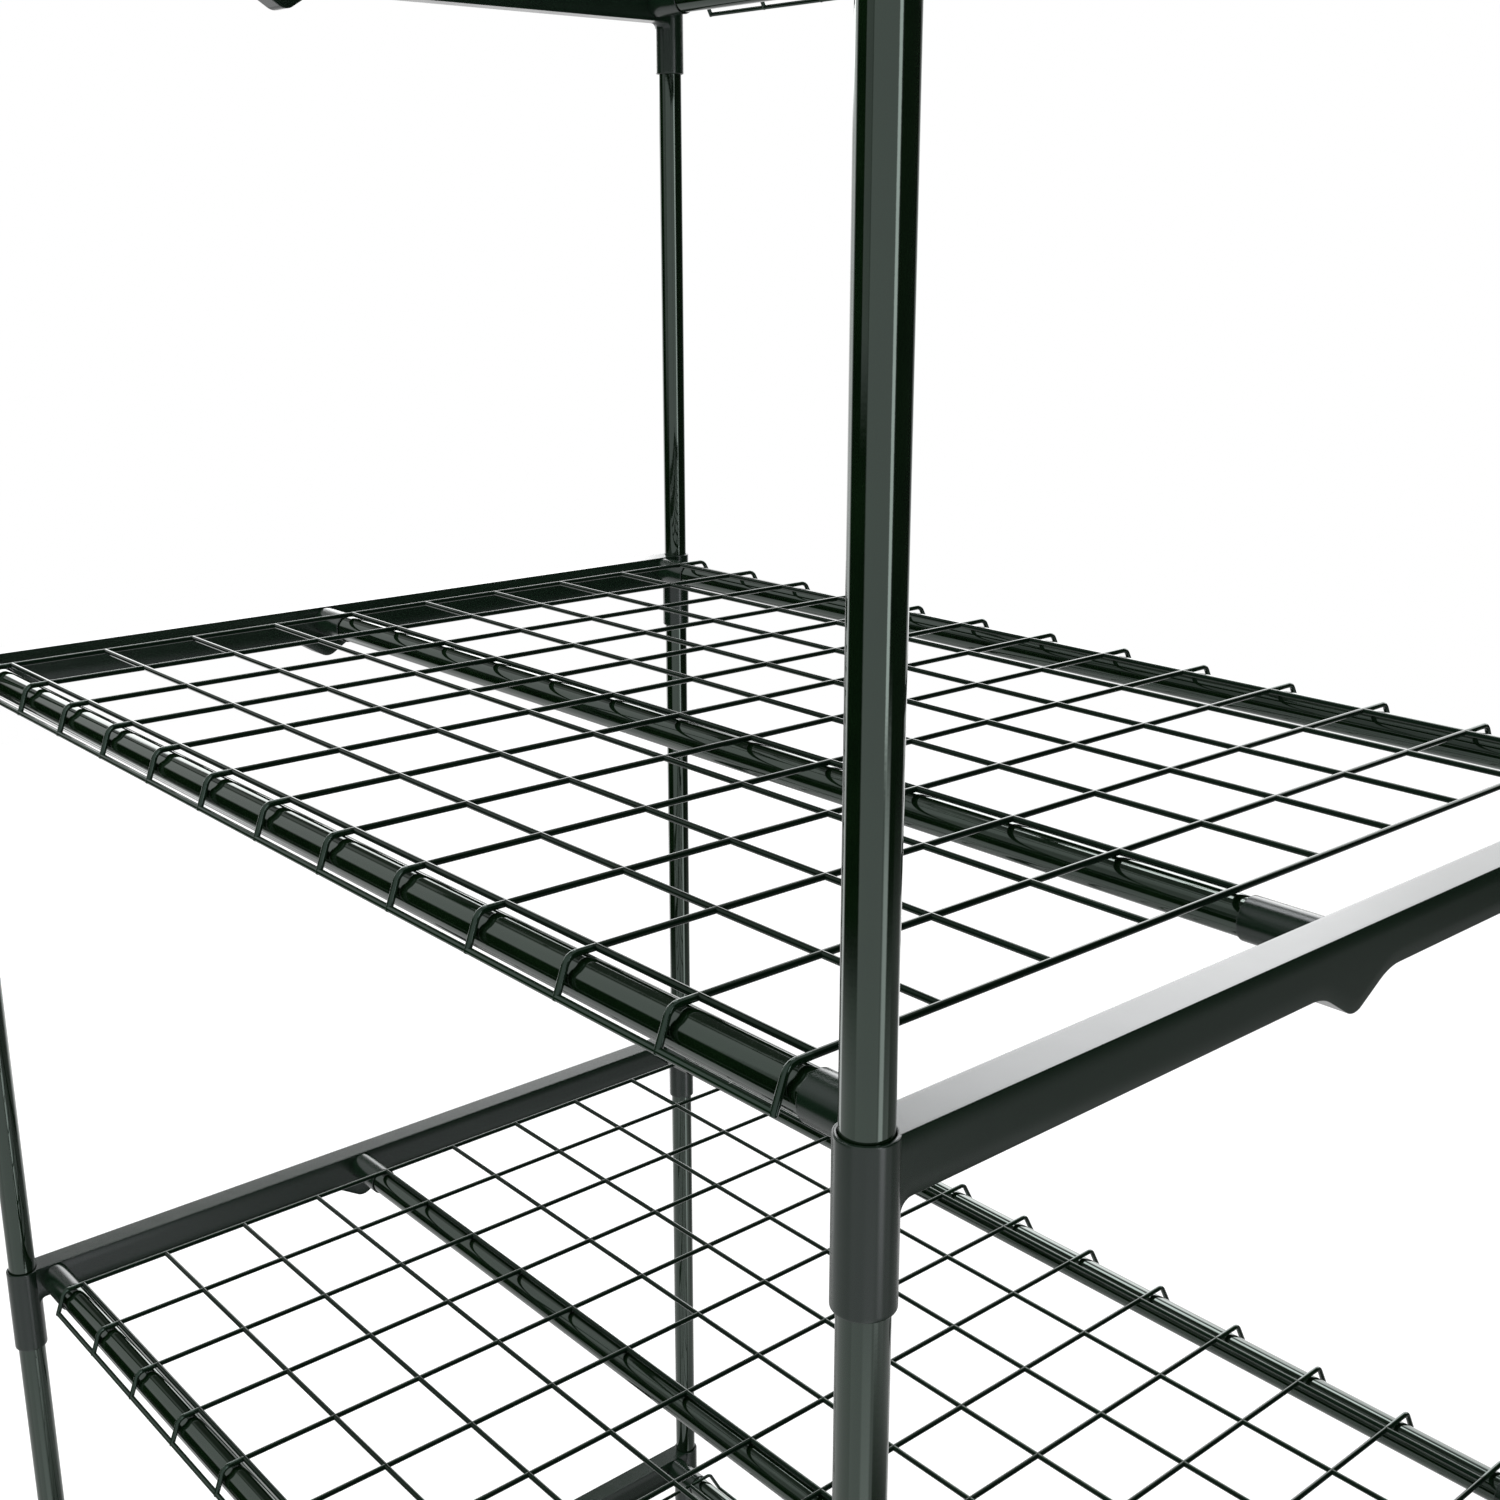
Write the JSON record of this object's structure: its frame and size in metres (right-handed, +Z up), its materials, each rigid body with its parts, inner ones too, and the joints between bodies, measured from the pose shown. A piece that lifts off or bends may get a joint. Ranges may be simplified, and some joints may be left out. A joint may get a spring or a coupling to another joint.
{
  "type": "mini greenhouse",
  "caption": "Free-standing mini greenhouse frame of steel tubes in moulded side bars, with welded wire shelves that hook over the tubes and lift off, and a gabled top.",
  "frame": {"origin": "on the ground, at the middle of the footprint of the four posts", "axes": "+X to the right along the cross tubes, +Y to the back, +Z up"},
  "size_m": [0.697, 0.5028, 1.5993],
  "materials": {
    "painted_steel": "gloss dark green paint on steel tube",
    "wire_paint": "gloss dark green coating on welded wire",
    "side_plastic": "satin dark grey-green moulded plastic",
    "foot_plastic": "matt dark plastic cap"
  },
  "bodies": {
    "frame": {"leg_front_left": "painted_steel", "post_front_left_1": "painted_steel", "post_front_left_2": "painted_steel", "post_front_left_3": "painted_steel", "post_front_left_4": "painted_steel", "leg_back_left": "painted_steel", "post_back_left_1": "painted_steel", "post_back_left_2": "painted_steel", "post_back_left_3": "painted_steel", "post_back_left_4": "painted_steel", "leg_front_right": "painted_steel", "post_front_right_1": "painted_steel", "post_front_right_2": "painted_steel", "post_front_right_3": "painted_steel", "post_front_right_4": "painted_steel", "leg_back_right": "painted_steel", "post_back_right_1": "painted_steel", "post_back_right_2": "painted_steel", "post_back_right_3": "painted_steel", "post_back_right_4": "painted_steel", "cross_tube_front_1": "painted_steel", "cross_tube_middle_1": "painted_steel", "cross_tube_back_1": "painted_steel", "cross_tube_front_2": "painted_steel", "cross_tube_middle_2": "painted_steel", "cross_tube_back_2": "painted_steel", "cross_tube_front_3": "painted_steel", "cross_tube_middle_3": "painted_steel", "cross_tube_back_3": "painted_steel", "cross_tube_front_4": "painted_steel", "cross_tube_middle_4": "painted_steel", "cross_tube_back_4": "painted_steel", "eave_tube_front": "painted_steel", "eave_tube_back": "painted_steel", "ridge_tube": "painted_steel", "side_bar_left_1": "side_plastic", "side_bar_left_2": "side_plastic", "side_bar_left_3": "side_plastic", "side_bar_left_4": "side_plastic", "side_bar_right_1": "side_plastic", "side_bar_right_2": "side_plastic", "side_bar_right_3": "side_plastic", "side_bar_right_4": "side_plastic", "roof_gable_left": "side_plastic", "roof_gable_right": "side_plastic", "foot_front_left": "foot_plastic", "foot_back_left": "foot_plastic", "foot_front_right": "foot_plastic", "foot_back_right": "foot_plastic"},
    "shelf_1": {"wire_shelf_1": "wire_paint"},
    "shelf_2": {"wire_shelf_2": "wire_paint"},
    "shelf_3": {"wire_shelf_3": "wire_paint"},
    "shelf_4": {"wire_shelf_4": "wire_paint"}
  },
  "joints": [
    {"name": "shelf_1_lift", "type": "slide", "parent": "frame", "child": "shelf_1", "axis": [0, 0, 1], "range_m": [0, 0.335]},
    {"name": "shelf_2_lift", "type": "slide", "parent": "frame", "child": "shelf_2", "axis": [0, 0, 1], "range_m": [0, 0.335]},
    {"name": "shelf_3_lift", "type": "slide", "parent": "frame", "child": "shelf_3", "axis": [0, 0, 1], "range_m": [0, 0.335]},
    {"name": "shelf_4_lift", "type": "slide", "parent": "frame", "child": "shelf_4", "axis": [0, 0, 1], "range_m": [0, 0.335]}
  ]
}
